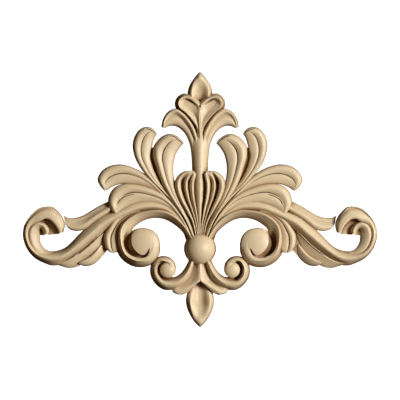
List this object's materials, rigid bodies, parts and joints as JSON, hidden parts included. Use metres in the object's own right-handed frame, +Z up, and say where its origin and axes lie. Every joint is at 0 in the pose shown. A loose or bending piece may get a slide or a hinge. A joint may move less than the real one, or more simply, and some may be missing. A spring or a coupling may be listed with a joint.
{
  "type": "carved wood onlay",
  "caption": "Flat-backed carved wood onlay with scrolled arms, fanned leaves and a central boss, fixed by its back to furniture, doors or walls as raised ornament.",
  "frame": {"origin": "on the flat back face, straight behind the centre of the round boss", "axes": "+Y out of the flat back towards the surface that carries the onlay, the carved front facing -Y; +X along its width; +Z up, towards the tall leaf finial"},
  "size_m": [0.3536, 0.02, 0.2543],
  "materials": {
    "pale_wood": "pale, fine-grained wood pulp, smooth, matt and unfinished"
  },
  "bodies": {
    "root": {"onlay": "pale_wood"}
  },
  "joints": []
}
